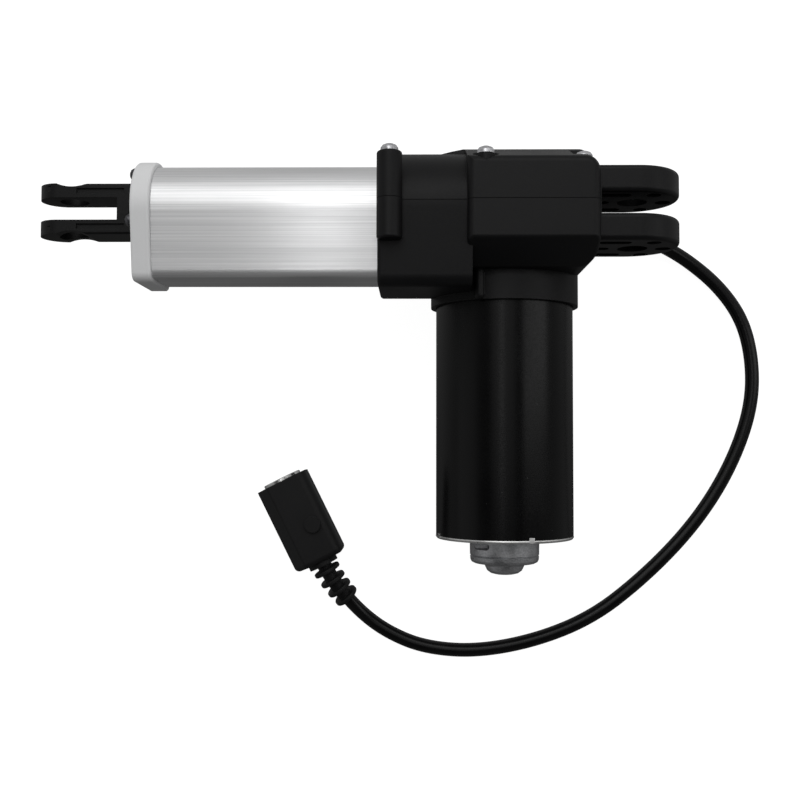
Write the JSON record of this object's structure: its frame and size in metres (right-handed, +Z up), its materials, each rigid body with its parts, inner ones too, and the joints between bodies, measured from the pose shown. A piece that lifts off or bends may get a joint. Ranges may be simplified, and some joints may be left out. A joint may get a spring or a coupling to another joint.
{
  "type": "linear actuator",
  "caption": "Electric linear actuator with a fork rod end, extruded tube, side-mounted gear motor, rear clevis and a cable that ends in a round connector.",
  "frame": {"origin": "centre of the rear pin hole, midway between the clevis's tongues", "axes": "-X along the spindle towards the fork, -Y along the motor, +Z up from the surface that the actuator lies on; both pin holes run along Y"},
  "size_m": [0.319, 0.2219, 0.0866],
  "materials": {
    "black_shell": "fine satin moulded texture",
    "black_clevis": "satin moulded",
    "black_fork": "satin moulded, glass filled",
    "brushed_profile": "drawn, fine lines along its length",
    "grey_cap": "smooth satin",
    "screw_steel": "zinc plated",
    "dark_screw": "blackened",
    "black_paint": "satin black paint",
    "bright_plate": "bright zinc plated",
    "cast_boss": "die cast, dull",
    "rod_steel": "ground",
    "spindle_steel": "rolled thread",
    "white_plastic": "natural acetal",
    "bearing_steel": "polished",
    "black_rubber": "soft",
    "sintered_bronze": "sintered",
    "ferrite": "ground ferrite",
    "lamination": "stacked sheet",
    "copper": "enamelled wire",
    "carbon": "carbon brush",
    "board_green": "circuit board",
    "board_part": "moulded component",
    "cable_black": "smooth vinyl jacket",
    "plug_black": "fine matt vinyl",
    "shield_nickel": "nickel plated",
    "contact_gold": "plated"
  },
  "bodies": {
    "housing": {"housing_upper": "black_shell", "housing_lower": "black_shell", "housing_screws": "screw_steel", "rear_clevis": "black_clevis", "tube_profile": "brushed_profile", "end_cap": "grey_cap", "cap_screws": "dark_screw", "guide_bush": "white_plastic", "rod_wiper": "black_rubber", "bearing_outer_ring": "bearing_steel", "motor_can": "black_paint", "motor_end_plate": "bright_plate", "motor_end_boss": "cast_boss", "collar_seal": "black_rubber", "motor_screws": "screw_steel", "magnets": "ferrite", "brush_card": "board_part", "brushes": "carbon", "rear_motor_bush": "sintered_bronze", "front_motor_bush": "sintered_bronze", "worm_tip_bush": "sintered_bronze", "limit_switch_board": "board_green", "limit_switches": "board_part", "connection_board": "board_green", "suppressors": "board_part", "power_cable": "cable_black", "cable_grommet": "plug_black", "cable_inner_end": "cable_black", "plug_body": "plug_black", "plug_shield": "shield_nickel", "plug_insert": "board_part", "plug_contacts": "contact_gold", "plug_strain_relief": "plug_black"},
    "rod": {"fork_head": "black_fork", "push_tube": "rod_steel", "fork_pin": "rod_steel", "drive_nut": "white_plastic"},
    "spindle": {"spindle": "spindle_steel", "spindle_end_stop": "rod_steel", "spindle_lock_nut": "rod_steel", "worm_wheel": "white_plastic", "bearing_inner_ring": "bearing_steel", "bearing_balls": "bearing_steel"},
    "armature": {"armature_shaft": "rod_steel", "worm": "spindle_steel", "armature_core": "lamination", "armature_windings": "copper", "commutator": "copper"}
  },
  "joints": [
    {"name": "armature_turn", "type": "hinge", "parent": "housing", "child": "armature", "pos_m": [-0.0516, 0, -0.024], "axis": [0, 1, 0], "range_deg": [0, 134400]},
    {"name": "spindle_turn", "type": "hinge", "parent": "housing", "child": "spindle", "pos_m": [0, 0, 0], "axis": [1, 0, 0], "range_deg": [0, 4800.5]},
    {"name": "rod_slide", "type": "slide", "parent": "housing", "child": "rod", "axis": [-1, 0, 0], "range_m": [0, 0.0801]}
  ],
  "couplings": [
    {"joint": "spindle_turn", "follows": "armature_turn", "ratio": 0.035714},
    {"joint": "rod_slide", "follows": "armature_turn", "m_per_rad": 0.000034105}
  ]
}
